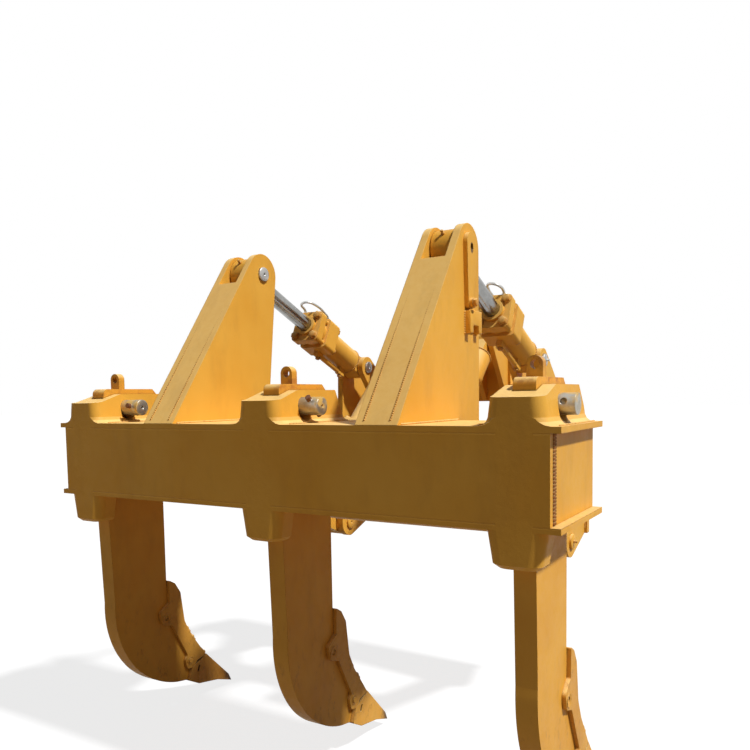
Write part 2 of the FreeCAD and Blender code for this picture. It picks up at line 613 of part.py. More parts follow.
# Bracket: a bolted plate with cheeks that carry the base pins. Its wide foot
# backs the outer cheeks, and its bolts lie in the bays of the tilt cylinders.
def make_bracket():
    crown = MOUNT_TOP + CROWN_H
    foot = MOUNT_BOTTOM + CHEEK_RISE
    half = [(MOUNT_HALF_W, MOUNT_BOTTOM), (MOUNT_HALF_W, foot),
            (SHOULDER_HALF_W, foot + MOUNT_HALF_W - SHOULDER_HALF_W), (SHOULDER_HALF_W, MOUNT_TOP),
            (CROWN_HALF_W, MOUNT_TOP), (CROWN_HALF_W, crown - CROWN_BEVEL),
            (CROWN_HALF_W - CROWN_BEVEL, crown)]
    plate = sheet("y", MOUNT_BACK, MOUNT_Y, polygon(half + [(-x, z) for x, z in reversed(half)]))
    cuts = [box(both(0, 2 * WINDOW_HALF_W), (MOUNT_BACK, MOUNT_Y), (WINDOW_BOTTOM, WINDOW_TOP))]
    for x in (-TILT_X, TILT_X):
        for z in (MOUNT_MID - BOLT_SPACING_Z / 2, MOUNT_MID + BOLT_SPACING_Z / 2):
            cuts.append(Part.makeCylinder(BOLT_HOLE_R, MOUNT_T, V(x, MOUNT_BACK, z), V(0, 1, 0)))
    NODES["mount_plate"] = one(plate.cut(cuts))
    tilt_ear = TILT_BASE + (TILT_EAR_R,)
    low_ear = ARM_BASE + (LOW_BASE_R,)
    low_back = (MOUNT_BACK, MOUNT_BOTTOM, 0)
    high_back = (MOUNT_BACK, MOUNT_TOP, 0)
    cheeks = {"main": (TOWER_MAIN, [tilt_ear, low_ear, low_back, high_back]),
              "inner": (TOWER_INNER, [tilt_ear, (MOUNT_BACK, MOUNT_TOP - CHEEK_RISE, 0), high_back]),
              "outer": (OUTER_EAR, [low_ear, low_back, (MOUNT_BACK, foot, 0)])}
    bores = [rod(TOP_PIN_R + PIN_FIT, 0, 2 * OUTER_EAR, *TILT_BASE),
             rod(LINK_PIN_R + PRESS_FIT, 0, 2 * OUTER_EAR, *ARM_BASE)]
    lug = [LIFT_TOP + (LUG_R,), (MOUNT_BACK, WINDOW_TOP, 0), (MOUNT_BACK, crown - CROWN_BEVEL, 0)]
    lug_bore = rod(TOP_PIN_R + PRESS_FIT, 0, 2 * LIFT_X, *LIFT_TOP)
    for name, side in SIDES:
        for tag, (x, outline) in cheeks.items():
            cheek = sheet("x", x, x + PLATE_T, wrap(outline)).cut(bores)
            NODES["cheek_%s_%s" % (tag, name)] = sided(one(cheek), side)
        for tag, x in (("inner", LIFT_X - LIFT_GAP / 2 - LUG_T), ("outer", LIFT_X + LIFT_GAP / 2)):
            ear = sheet("x", x, x + LUG_T, wrap(lug)).cut(lug_bore)
            NODES["lift_ear_%s_%s" % (tag, name)] = sided(one(ear), side)


make_beam()
for shank_name, place in SHANKS:
    make_pocket(shank_name, place * POCKET_PITCH)
    make_shank(shank_name, place * POCKET_PITCH)
for side_name, way in SIDES:
    make_tower(side_name, way)
make_lower_frame()
make_cylinders()
make_bracket()

for node, shape in NODES.items():
    shape.translate(V(0, -MOUNT_Y, -MOUNT_MID))
    shape.exportStep("parts/%s.step" % node)
    print(node, len(shape.Solids), round(shape.Volume / 1e6, 2), shape.isValid())
print(len(NODES), "nodes", round(sum(s.Volume for s in NODES.values()) / 1e9, 4), "m3")
print("mount y", round(MOUNT_Y, 4), "mount z", MOUNT_MID, "bolts at x", TILT_X)
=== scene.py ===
# %% [markdown]
# # A three-shank ripper
#
# The real object is dragged along to break up rock and hard clay. Its beam,
# castings, shanks, links and cylinders are already solid parts, measured and packed.
# This lesson lights them, gives them their paint and steel, and adds what a welder and
# a fitter leave behind: weld beads, bolts, turned pin ends, grease fittings and pipes.

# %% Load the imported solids
import bpy
import math
from mathutils import Matrix, Vector


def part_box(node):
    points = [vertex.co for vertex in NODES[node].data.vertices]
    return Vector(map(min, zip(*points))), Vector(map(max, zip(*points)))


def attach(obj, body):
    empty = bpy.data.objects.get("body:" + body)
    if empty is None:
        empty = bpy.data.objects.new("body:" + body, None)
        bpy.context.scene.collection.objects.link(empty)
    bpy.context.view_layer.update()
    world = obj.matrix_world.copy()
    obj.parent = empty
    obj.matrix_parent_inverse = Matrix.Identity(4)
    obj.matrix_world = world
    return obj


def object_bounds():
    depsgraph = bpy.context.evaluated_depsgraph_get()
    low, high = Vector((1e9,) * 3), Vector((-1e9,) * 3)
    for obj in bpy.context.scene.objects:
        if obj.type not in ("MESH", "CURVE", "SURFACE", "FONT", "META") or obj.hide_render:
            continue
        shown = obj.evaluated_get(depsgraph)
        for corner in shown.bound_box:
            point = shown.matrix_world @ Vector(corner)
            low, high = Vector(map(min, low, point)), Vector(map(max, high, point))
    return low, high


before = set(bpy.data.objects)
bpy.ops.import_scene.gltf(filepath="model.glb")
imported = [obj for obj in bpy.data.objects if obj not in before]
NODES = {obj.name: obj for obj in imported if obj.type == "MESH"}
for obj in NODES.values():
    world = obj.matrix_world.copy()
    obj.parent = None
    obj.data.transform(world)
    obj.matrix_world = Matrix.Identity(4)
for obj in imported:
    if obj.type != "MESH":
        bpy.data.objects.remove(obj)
CAD_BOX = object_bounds()

# %% [markdown]
# All places are written from one corner that is easy to find on the real beam: the top
# of its rear edge, in the middle of its length. X runs along the beam, Y forward to the
# bracket and Z up. One helper turns such a place into the frame's own metres.

# %% The beam's rear top edge as the starting point
BEAM_LOW, BEAM_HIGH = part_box("beam")
ORIGIN = Vector((0, BEAM_LOW.y, BEAM_HIGH.z))
BEAM_HEIGHT = BEAM_HIGH.z - BEAM_LOW.z
BEAM_DEPTH = BEAM_HIGH.y - BEAM_LOW.y


def at(x, y, z):
    """A place in the frame, from one measured at the beam."""
    return ORIGIN + Vector((x, y, z))


print("beam", [round(v, 3) for v in (BEAM_HIGH.x * 2, BEAM_DEPTH, BEAM_HEIGHT)])

# %% [markdown]
# ## Camera
# The camera stands behind the right end of the beam, a little above its top, and is
# turned left towards it. The lens is a slightly wide one. The shift raises the view and
# keeps the upright edges almost parallel, as in the photograph.

# %% Camera
PICTURE = 750
FOCAL = 726.0
CENTRE_ROW = 449.15
SENSOR = 36
CAMERA_PLACE = (1.7801, -2.075, 0.0964)
VIEW_END = 200
YAW, PITCH, ROLL = (math.radians(v) for v in (31.32, -4.15, -0.953))

bpy.ops.object.select_all(action="DESELECT")
bpy.ops.object.camera_add(location=at(*CAMERA_PLACE))
camera = bpy.context.object
camera.name = "camera"
camera.data.sensor_width = SENSOR
camera.data.lens = FOCAL / PICTURE * SENSOR
camera.data.shift_y = (CENTRE_ROW - PICTURE / 2) / PICTURE
camera.data.clip_end = VIEW_END
look = Matrix.Rotation(YAW, 4, "Z") @ Matrix.Rotation(math.pi / 2 + PITCH, 4, "X")
camera.rotation_euler = (look @ Matrix.Rotation(ROLL, 4, "Z")).to_euler()
bpy.context.scene.camera = camera
print("camera", [round(v, 3) for v in camera.location], "lens", round(camera.data.lens, 2))

# %% [markdown]
# ## Floor and light
# The photograph has a white background, so the floor is white too and the world looks
# white to the camera. What the world sends onto the metal is much weaker, because the
# real rear faces are in shade. A strong lamp high on the right takes the part of the
# sun, and a weak one on the camera's side opens the shade.

# %% Floor
FLOOR_GAP = 0.03
FLOOR_SIZE = 160
FLOOR_GLOW = 0.80
FLOOR_SHOWN = (0.24, 0.24, 0.24, 1)
FLOOR_BOUNCE = (0.26, 0.212, 0.175, 1)
WHITE = (1, 1, 1, 1)
floor_z = CAD_BOX[0].z - FLOOR_GAP

bpy.ops.mesh.primitive_plane_add(size=FLOOR_SIZE, location=(0, 0, floor_z))
floor = bpy.context.object
floor.name = "floor"


def new_material(name):
    """An empty material: its node tree, and a helper that adds nodes to it."""
    material = bpy.data.materials.new(name)
    material.use_nodes = True
    tree = material.node_tree
    tree.nodes.clear()

    def add(kind, **sockets):
        made = tree.nodes.new("ShaderNode" + kind)
        for key, value in sockets.items():
            made.inputs[key.replace("_", " ")].default_value = value
        return made

    return material, tree, add


def seen_rays(tree, path):
    """1 for the rays that show a surface: straight to the camera, by gloss or through glass."""
    total = path.outputs["Is Camera Ray"]
    for kind in ("Is Glossy Ray", "Is Transmission Ray"):
        larger = tree.nodes.new("ShaderNodeMath")
        larger.operation = "MAXIMUM"
        tree.links.new(total, larger.inputs[0])
        tree.links.new(path.outputs[kind], larger.inputs[1])
        total = larger.outputs[0]
    return total


material, tree, add = new_material("floor_white")
seen = add("Emission", Color=WHITE, Strength=FLOOR_GLOW)
lit = add("BsdfDiffuse", Color=FLOOR_SHOWN)
both_lights = add("AddShader")
path = add("LightPath")
choice = add("MixShader")
plain = add("BsdfDiffuse", Color=FLOOR_BOUNCE)
out = add("OutputMaterial")
tree.links.new(seen.outputs[0], both_lights.inputs[0])
tree.links.new(lit.outputs[0], both_lights.inputs[1])
shown = seen_rays(tree, path)
tree.links.new(shown, choice.inputs["Fac"])
tree.links.new(plain.outputs[0], choice.inputs[1])
tree.links.new(both_lights.outputs[0], choice.inputs[2])
tree.links.new(choice.outputs[0], out.inputs["Surface"])
floor.data.materials.append(material)
print("floor at", round(floor_z, 3))

# %% World and lamps
SKY = 0.085
KEY_POWER = 4.0
KEY_FROM = (0.62, -0.02, 0.85)
KEY_SOFT = 4
FILL_POWER = 0.03
FILL_FROM = (0.35, -1.0, 0.35)
FILL_SOFT = 60

world = bpy.data.worlds.new("studio")
bpy.context.scene.world = world
world.use_nodes = True
tree = world.node_tree
tree.nodes.clear()
path = tree.nodes.new("ShaderNodeLightPath")
level = tree.nodes.new("ShaderNodeMapRange")
level.inputs["To Min"].default_value = SKY
level.inputs["To Max"].default_value = 1
back = tree.nodes.new("ShaderNodeBackground")
back.inputs["Color"].default_value = WHITE
out = tree.nodes.new("ShaderNodeOutputWorld")
tree.links.new(seen_rays(tree, path), level.inputs["Value"])
tree.links.new(level.outputs[0], back.inputs["Strength"])
tree.links.new(back.outputs[0], out.inputs["Surface"])


def sun(name, towards, power, softness):
    """A distant lamp that shines from one direction, with soft shadows."""
    bpy.ops.object.light_add(type="SUN")
    lamp = bpy.context.object
    lamp.name = name
    lamp.rotation_euler = Vector(towards).to_track_quat("Z", "Y").to_euler()
    lamp.data.energy = power
    lamp.data.angle = math.radians(softness)


sun("key", KEY_FROM, KEY_POWER, KEY_SOFT)
sun("fill", FILL_FROM, FILL_POWER, FILL_SOFT)
bpy.context.scene.view_settings.view_transform = "Standard"
print("sky", SKY, "key", KEY_POWER, "fill", FILL_POWER)

# %% [markdown]
# ## Paint and steel
# The whole frame wears one coat of construction yellow, sprayed thick over weld beads
# and castings. Up close it is not one colour: the coat is thicker in places, faces that
# look up are paler, being dusty and also lit by a painted highlight, and it is rubbed at
# the edges. All patterns read Object coordinates in metres, so that they have their true
# size on every piece. Small functions build the node trees, because the same few steps
# come back in every finish.

# %% Helpers for patterns
def noise(tree, add, scale, detail=4, rough=0.6, stretch=(1, 1, 1)):
    """A cloud pattern in object space; its spots are about 1/scale metres wide."""
    where = add("TexCoord")
    turn = add("Mapping")
    turn.inputs["Scale"].default_value = stretch
    cloud = add("TexNoise", Scale=scale, Detail=detail, Roughness=rough)
    tree.links.new(where.outputs["Object"], turn.inputs["Vector"])
    tree.links.new(turn.outputs[0], cloud.inputs["Vector"])
    return cloud.outputs["Fac"]


def ramp(tree, add, source, low, high, start=0.0, end=1.0):
    """Turns the part of a signal between low and high into start..end."""
    made = add("MapRange", From_Min=low, From_Max=high, To_Min=start, To_Max=end)
    tree.links.new(source, made.inputs["Value"])
    return made.outputs[0]


def combined(tree, add, kind, first, second):
    """Two signals through one maths node; the second may be a plain number."""
    made = add("Math")
    made.operation = kind
    tree.links.new(first, made.inputs[0])
    if isinstance(second, (int, float)):
        made.inputs[1].default_value = second
    else:
        tree.links.new(second, made.inputs[1])
    return made.outputs[0]


def blend_colours(tree, add, share, first, second):
    """Two colours, or signals, mixed by a share between 0 and 1."""
    mix = tree.nodes.new("ShaderNodeMix")
    mix.data_type = "RGBA"
    for value, socket in ((first, mix.inputs[6]), (second, mix.inputs[7])):
        if isinstance(value, tuple):
            socket.default_value = value + (1,)
        else:
            tree.links.new(value, socket)
    tree.links.new(share, mix.inputs[0])
    return mix.outputs[2]


def place_along(tree, add, axis):
    """A point's own X, Y or Z in metres."""
    where = add("TexCoord")
    split = add("SeparateXYZ")
    tree.links.new(where.outputs["Object"], split.inputs[0])
    return split.outputs[axis]


def away_from(tree, add, centre, scale=(1, 1, 1)):
    """The distance from a centre, in metres; a scale of 0 ignores that axis."""
    where = add("TexCoord")
    shift = add("VectorMath")
    shift.operation = "SUBTRACT"
    shift.inputs[1].default_value = centre
    squeeze = add("VectorMath")
    squeeze.operation = "MULTIPLY"
    squeeze.inputs[1].default_value = scale
    size = add("VectorMath")
    size.operation = "LENGTH"
    tree.links.new(where.outputs["Object"], shift.inputs[0])
    tree.links.new(shift.outputs[0], squeeze.inputs[0])
    tree.links.new(squeeze.outputs[0], size.inputs[0])
    return size.outputs["Value"]


print("pattern helpers ready")

# %% Helpers for edges, dusty and painted-lit tops, painted corner shade and the shader
EDGE_ROUND = 0.004
EDGE_SAMPLES = 6
CREVICE = 0.03
CREVICE_SAMPLES = 4


def rounded_edges(add):
    """A normal that rolls softly over every edge, as thick paint does."""
    soft = add("Bevel", Radius=EDGE_ROUND)
    soft.samples = EDGE_SAMPLES
    return soft.outputs[0]


def edges(tree, add, soft):
    """1 along edges, 0 on flat faces: the rounded normal against the true one."""
    true = add("NewGeometry")
    dot = add("VectorMath")
    dot.operation = "DOT_PRODUCT"
    tree.links.new(soft, dot.inputs[0])
    tree.links.new(true.outputs["True Normal"], dot.inputs[1])
    return ramp(tree, add, dot.outputs["Value"], 1.0, 0.86)


def upward(tree, add):
    """1 on faces that look up, which are dusty and get a painted top light."""
    true = add("NewGeometry")
    split = add("SeparateXYZ")
    tree.links.new(true.outputs["Normal"], split.inputs[0])
    return ramp(tree, add, split.outputs["Z"], 0.2, 0.75)


def crevice_shade(tree, add):
    """1 in narrow corners, where painted shade falls, with some grime."""
    gap = add("AmbientOcclusion", Distance=CREVICE)
    gap.samples = CREVICE_SAMPLES
    return ramp(tree, add, gap.outputs["AO"], 0.52, 0.18)


def finish_material(tree, add, colour, rough, metal=0.0, bumps=(), normal=None, specular=0.5):
    """The shader itself; bumps are (height signal, distance in metres, strength)."""
    shader = add("BsdfPrincipled")
    shader.inputs["Specular IOR Level"].default_value = specular
    for value, socket in ((colour, "Base Color"), (rough, "Roughness"), (metal, "Metallic")):
        if isinstance(value, tuple):
            shader.inputs[socket].default_value = value + (1,)
        elif isinstance(value, float):
            shader.inputs[socket].default_value = value
        else:
            tree.links.new(value, shader.inputs[socket])
    for height, distance, strength in bumps:
        bump = add("Bump", Strength=strength, Distance=distance)
        tree.links.new(height, bump.inputs["Height"])
        if normal is not None:
            tree.links.new(normal, bump.inputs["Normal"])
        normal = bump.outputs[0]
    if normal is not None:
        tree.links.new(normal, shader.inputs["Normal"])
    out = add("OutputMaterial")
    tree.links.new(shader.outputs[0], out.inputs["Surface"])


print("edges round off over", EDGE_ROUND, "m")

# %% [markdown]
# The paint is one function with a few settings. `wear` sets how far the edges are
# rubbed to the dark primer, `cast` adds the grain of a sand casting, `shade_and_grime` darkens
# narrow corners with painted shade and some grime, and `marks` is a further function for
# what only one piece has, such as a seam or a rusty top. A piece that is ground flush with
# its neighbour, as the beam is with its castings, has `rounded` off, or the joint would
# show as a dark line.

# %% Yellow paint
YELLOW = (0.78, 0.415, 0.060)
YELLOW_DEEP = (0.73, 0.360, 0.042)
# The next colour serves dusty tops and a painted highlight on them together.
DUST_AND_TOP_LIGHT = (0.93, 0.66, 0.27)
PRIMER = (0.20, 0.075, 0.03)
RUST = (0.36, 0.105, 0.036)
# The next colour is painted shade with some grime, for narrow corners.
SHADE_AND_GRIME_BROWN = (0.085, 0.038, 0.016)
PAINT_GLOSS = 0.16


def paint(name, light, deep, dust_and_light_share=0.75, wear=0.35, cast=0.0, shade_and_grime=0.35, rounded=True, marks=None):
    """Sprayed enamel, dusty and painted lighter on top faces, with rubbed edges and, where asked, casting
    grain.
    """
    material, tree, add = new_material(name)
    soft = rounded_edges(add) if rounded else None
    # Clouds about half a metre wide, where the coat is thicker.
    drift = noise(tree, add, 2.2, 3)
    colour = blend_colours(tree, add, ramp(tree, add, drift, 0.35, 0.65), light, deep)
    # A pale dusty colour, half painted highlight, on what looks up, then streaks that run down.
    fine = noise(tree, add, 38, 5, 0.7)
    lies = ramp(tree, add, fine, 0.30, 0.62, 0.7 * dust_and_light_share, dust_and_light_share)
    dust_and_light_mask = combined(tree, add, "MULTIPLY", lies, upward(tree, add))
    colour = blend_colours(tree, add, dust_and_light_mask, colour, DUST_AND_TOP_LIGHT)
    runs = ramp(tree, add, noise(tree, add, 7, 5, 0.65, (1, 1, 0.35)), 0.50, 0.80, 0, 0.20)
    colour = blend_colours(tree, add, runs, colour, PRIMER)
    if rounded:
        chips = ramp(tree, add, noise(tree, add, 60, 6, 0.75), 0.50, 0.62)
        scuff = combined(tree, add, "MULTIPLY", edges(tree, add, soft), chips)
        scuff = combined(tree, add, "MULTIPLY", scuff, ramp(tree, add, drift, 0.2, 0.8, 0, wear * 1.6))
        colour = blend_colours(tree, add, scuff, colour, PRIMER)
    # Painted shade in narrow corners, mixed with some grime.
    if shade_and_grime:
        corner_shade_share = combined(tree, add, "MULTIPLY", crevice_shade(tree, add), shade_and_grime)
        colour = blend_colours(tree, add, corner_shade_share, colour, SHADE_AND_GRIME_BROWN)
    gloss = ramp(tree, add, fine, 0.3, 0.75, 0.44, 0.62)
    # The grain of the spray, and slow waves of the plate below it.
    bumps = [(noise(tree, add, 110, 3), 0.0006, 0.35), (noise(tree, add, 7, 2), 0.004, 0.22)]
    if cast:
        bumps.append((noise(tree, add, 45, 6, 0.7), 0.0022, cast))
    if marks:
        colour, more = marks(tree, add, colour)
        bumps += more
    finish_material(tree, add, colour, gloss, bumps=bumps, normal=soft, specular=PAINT_GLOSS)
    return material


plate_paint = paint("yellow_plate", YELLOW, YELLOW_DEEP)
cast_paint = paint("yellow_casting", YELLOW, YELLOW_DEEP, cast=0.5, rounded=False)
print("plain coats:", plate_paint.name, cast_paint.name)

# %% [markdown]
# The beam's webs are set between its flanges, and the joint was ground flush. What is
# left is a shallow dark line along the rear, near the top and the bottom. It is thinner
# than any plate could be cut, so it is drawn as a groove in the paint.

# %% Paint of the beam, with its flush seams
SEAM_HALF = 0.004
SEAM_WOBBLE = 0.004
SEAM_DARK = 0.22
SEAM_DEPTH = 0.002
FLANGE_T = 0.020
SEAMS = (BEAM_HIGH.z - FLANGE_T, BEAM_LOW.z + FLANGE_T)


def seam_marks(tree, add, colour):
    """Two shallow dark lines along the beam."""
    height = place_along(tree, add, "Z")
    wobble = combined(tree, add, "MULTIPLY", noise(tree, add, 30, 3), SEAM_WOBBLE)
    height = combined(tree, add, "ADD", height, wobble)
    lines = None
    for seam in SEAMS:
        off = combined(tree, add, "ABSOLUTE", combined(tree, add, "SUBTRACT", height, seam), 0)
        line = ramp(tree, add, off, SEAM_HALF, 0)
        lines = line if lines is None else combined(tree, add, "MAXIMUM", lines, line)
    dark = combined(tree, add, "MULTIPLY", lines, SEAM_DARK)
    return blend_colours(tree, add, dark, colour, PRIMER), [(lines, -SEAM_DEPTH, 0.6)]


beam_paint = paint("yellow_beam", YELLOW, YELLOW_DEEP, rounded=False, marks=seam_marks)
print("seams at", [round(z, 3) for z in SEAMS])

# %% [markdown]
# A shank is slid up and down in its pocket, so its top is rubbed to red rust, and its
# lower end is scraped by stones. Guards and tips are worn still more: at the very
# point of a tip the paint is gone and the steel is nearly black.

# %% Paint of shanks, guards and tips
SHANK_TOP_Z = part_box("pocket_left")[1].z
SHANK_FOOT_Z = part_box("shank_left")[0].z
TIP_POINT_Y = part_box("tip_left")[1].y
SCRAPED_HEIGHT = 0.75
POINT_BARE = 0.11
BARE_POINT = (0.085, 0.050, 0.030)
SHANK_YELLOWS = (0.77, 0.395, 0.055), (0.68, 0.315, 0.038)
TOOTH_YELLOWS = (0.74, 0.385, 0.060), (0.62, 0.280, 0.040)


def rust_above(tree, add, colour, level, fade, amount):
    """Rust spots that thicken above a level."""
    zone = ramp(tree, add, place_along(tree, add, "Z"), level, level + fade)
    spots = ramp(tree, add, noise(tree, add, 15, 7, 0.72), 0.50, 0.60, 0, amount)
    return blend_colours(tree, add, combined(tree, add, "MULTIPLY", zone, spots), colour, RUST)


def shank_marks(tree, add, colour):
    """A rusty top and a scraped foot."""
    colour = rust_above(tree, add, colour, SHANK_TOP_Z - 0.01, 0.02, 0.55)
    low = ramp(tree, add, place_along(tree, add, "Z"), SHANK_FOOT_Z + SCRAPED_HEIGHT, SHANK_FOOT_Z)
    scrape = ramp(tree, add, noise(tree, add, 24, 7, 0.72, (1, 1, 0.4)), 0.56, 0.70, 0, 0.75)
    colour = blend_colours(tree, add, combined(tree, add, "MULTIPLY", low, scrape), colour, PRIMER)
    return colour, [(scrape, 0.001, 0.3)]


def tooth_marks(tree, add, colour):
    """Bare steel at the point, and pits all over."""
    near = ramp(tree, add, place_along(tree, add, "Y"), TIP_POINT_Y - POINT_BARE, TIP_POINT_Y)
    bare = noise(tree, add, 26, 7, 0.72)
    share = ramp(tree, add, combined(tree, add, "ADD", near, bare), 0.85, 1.30, 0, 0.9)
    colour = blend_colours(tree, add, share, colour, BARE_POINT)
    pits = ramp(tree, add, bare, 0.56, 0.68, 0, 0.45)
    return blend_colours(tree, add, pits, colour, PRIMER), [(bare, 0.004, 0.6)]


shank_paint = paint("yellow_shank", *SHANK_YELLOWS, wear=0.8, shade_and_grime=0.8, marks=shank_marks)
tooth_paint = paint("yellow_tooth", *TOOTH_YELLOWS, wear=0.9, cast=0.8, shade_and_grime=0.9, marks=tooth_marks)
print("tops rust above", round(SHANK_TOP_Z, 3), "points are bare at", round(TIP_POINT_Y, 3))

# %% [markdown]
# Pins are turned steel with fine rings round them, and the cylinders' rods are ground
# and plated. Only the rod itself is bare: the eye welded to its end is painted. So the
# rod's finish changes from steel to paint near the middle of its eye.

# %% Bare steel and rods
STAIN = (0.20, 0.12, 0.07)


def steel(name, light, dark, rough, scale, stretch, grain):
    """Turned metal: fine lines along one way, and a cloudy tarnish."""
    material, tree, add = new_material(name)
    cloud = noise(tree, add, 18, 5)
    colour = blend_colours(tree, add, ramp(tree, add, cloud, 0.35, 0.7), light, dark)
    stain = ramp(tree, add, noise(tree, add, 45, 6, 0.7), 0.60, 0.74, 0, 0.5)
    colour = blend_colours(tree, add, stain, colour, STAIN)
    lines = noise(tree, add, scale, 4, 0.7, stretch)
    gloss = ramp(tree, add, cloud, 0.3, 0.7, rough, rough + 0.18)
    finish_material(tree, add, colour, gloss, 1.0, [(lines, 0.0004, grain)], rounded_edges(add))
    return material


pin_steel = steel("pin_steel", (0.52, 0.51, 0.49), (0.30, 0.29, 0.27), 0.34, 160, (1, 0.1, 0.1), 0.3)
SHANK_PIN = at(0, 0.178, 0.064)
SHANK_PIN_R = 0.035
WORN_LIGHT, WORN_DARK = (0.47, 0.45, 0.40), (0.34, 0.29, 0.20)
OVERSPRAY = (0.62, 0.40, 0.11)
RETAINER_RUST = (0.17, 0.065, 0.026)


def shank_pin_finish():
    """Worn steel under sprayed-over paint, with a rusty retainer round it."""
    material, tree, add = new_material("shank_pin_steel")
    cloud = noise(tree, add, 22, 6, 0.7)
    colour = blend_colours(tree, add, ramp(tree, add, cloud, 0.40, 0.62), WORN_LIGHT, WORN_DARK)
    spray = ramp(tree, add, noise(tree, add, 13, 5), 0.50, 0.60)
    colour = blend_colours(tree, add, spray, colour, OVERSPRAY)
    off = away_from(tree, add, (0, SHANK_PIN.y, SHANK_PIN.z), (0, 1, 1))
    retainer = ramp(tree, add, off, SHANK_PIN_R + 0.001, SHANK_PIN_R + 0.002)
    colour = blend_colours(tree, add, retainer, colour, RETAINER_RUST)
    bare = combined(tree, add, "SUBTRACT", ramp(tree, add, spray, 0, 1, 1, 0), retainer)
    metal = ramp(tree, add, bare, 0.3, 0.7, 0, 0.8)
    rough = ramp(tree, add, cloud, 0.3, 0.7, 0.34, 0.56)
    finish_material(tree, add, colour, rough, metal, [(cloud, 0.001, 0.3)], rounded_edges(add), 0.3)
    return material


shank_pin_steel = shank_pin_finish()
pipe_steel = steel("pipe_steel", (0.60, 0.60, 0.58), (0.42, 0.41, 0.39), 0.30, 120, (1, 1, 1), 0.15)
CHROME_LIGHT, CHROME_DARK = (0.36, 0.36, 0.35), (0.24, 0.24, 0.23)


def rod_finish(name, eye_centre, eye_reach):
    """Chrome, but paint within eye_reach of the eye's middle."""
    material, tree, add = new_material(name)
    cloud = noise(tree, add, 20, 5)
    bright = blend_colours(tree, add, ramp(tree, add, cloud, 0.3, 0.7), CHROME_LIGHT, CHROME_DARK)
    patches = ramp(tree, add, noise(tree, add, 5, 3), 0.3, 0.7)
    coat = blend_colours(tree, add, patches, YELLOW, YELLOW_DEEP)
    off = combined(tree, add, "ADD", away_from(tree, add, eye_centre, (0, 1, 1)),
                 combined(tree, add, "MULTIPLY", cloud, 0.012))
    painted = ramp(tree, add, off, eye_reach + 0.009, eye_reach + 0.003)
    colour = blend_colours(tree, add, painted, bright, coat)
    rough = ramp(tree, add, painted, 0, 1, 0.24, 0.50)
    metal = ramp(tree, add, painted, 0, 1, 1, 0)
    finish_material(tree, add, colour, rough, metal, [(noise(tree, add, 90, 3), 0.0005, 0.2)],
                    rounded_edges(add), PAINT_GLOSS)
    return material


def middle(node):
    """The middle of a node's box, which for a pin lies on its axis."""
    low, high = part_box(node)
    return (low + high) / 2


TOP_PIN = middle("tower_stub_right")
LIFT_EYE_R = 0.062
TILT_PAINTED, LIFT_PAINTED = 0.095, 0.080
lift_rod_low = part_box("lift_rod_right")[0]
LUG_PIN = Vector((0, lift_rod_low.y + LIFT_EYE_R, lift_rod_low.z + LIFT_EYE_R))
tilt_rod_finish = rod_finish("rod_tilt", (0, TOP_PIN.y, TOP_PIN.z), TILT_PAINTED)
lift_rod_finish = rod_finish("rod_lift", (0, LUG_PIN.y, LUG_PIN.z), LIFT_PAINTED)
print("rod eyes at", [round(v, 3) for v in TOP_PIN], [round(v, 3) for v in LUG_PIN])

# %% [markdown]
# Weld beads are the same paint, but it lies thin and a little darker on them, with soot
# in the ripples. The flag plates of the tower pins get a painted dark hole, standing for
# the shade inside the hole with some oil, and bolts are painted over with their edges
# knocked bare.

# %% Paint of welds, flags and bolts
FLAG_HOLE = (0.0, TOP_PIN.y - 0.012, TOP_PIN.z - 0.006)
# Painted shade of the flag plates' hole, with some oil.
HOLE_SHADE_OIL_COLOUR = (0.085, 0.04, 0.02)
WELD_YELLOWS = (0.70, 0.345, 0.055), (0.60, 0.270, 0.040)
# Painted shade: the brown of the bead in the end plates' groove.
GROOVE_SHADE_BROWNS = (0.46, 0.21, 0.05), (0.26, 0.10, 0.03)
BOLT_YELLOWS = (0.70, 0.345, 0.060), (0.52, 0.240, 0.045)


def flag_marks(tree, add, colour):
    """A painted dark hole in a flag plate: shade with some oil, sunk by a bump."""
    hole_shade_and_oil = ramp(tree, add, away_from(tree, add, FLAG_HOLE, (0, 1.35, 0.8)), 0.019, 0.014, 0, 0.9)
    return blend_colours(tree, add, hole_shade_and_oil, colour, HOLE_SHADE_OIL_COLOUR), [(hole_shade_and_oil, -0.004, 0.8)]


def soot_marks(tree, add, colour):
    """Dark specks, as soot and grease leave them."""
    soot = ramp(tree, add, noise(tree, add, 70, 5, 0.7), 0.48, 0.70, 0, 0.5)
    return blend_colours(tree, add, soot, colour, PRIMER), []


flag_paint = paint("yellow_flag", YELLOW, YELLOW_DEEP, marks=flag_marks)
weld_paint = paint("yellow_weld", *WELD_YELLOWS, wear=0.2, marks=soot_marks)
# The groove's bead is painted dark brown, the painted shade of the groove.
groove_shade_paint = paint("yellow_groove_shade", *GROOVE_SHADE_BROWNS, shade_and_grime=0.7, marks=soot_marks)
bolt_paint = paint("yellow_bolt", *BOLT_YELLOWS, wear=1.0, marks=soot_marks)
print("paints:", sorted(m.name for m in bpy.data.materials if m.name.startswith("yellow")))

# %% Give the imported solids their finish
FINISH = (
    (("tilt_rod",), tilt_rod_finish),
    (("lift_rod",), lift_rod_finish),
    (("shank_pin",), shank_pin_steel),
    (("rear_pin", "tilt_pin", "lift_pin", "tower_stub"), pin_steel),
    (("tower_pin",), flag_paint),
    (("beam",), beam_paint),
    (("pocket",), cast_paint),
    (("shank",), shank_paint),
    (("guard", "tip"), tooth_paint),
    (("",), plate_paint),
)
for name, node in NODES.items():
    for starts, material in FINISH:
        if name.startswith(starts):
            for slot in node.material_slots:
                slot.material = material
            break
print("finished", len(NODES), "nodes")

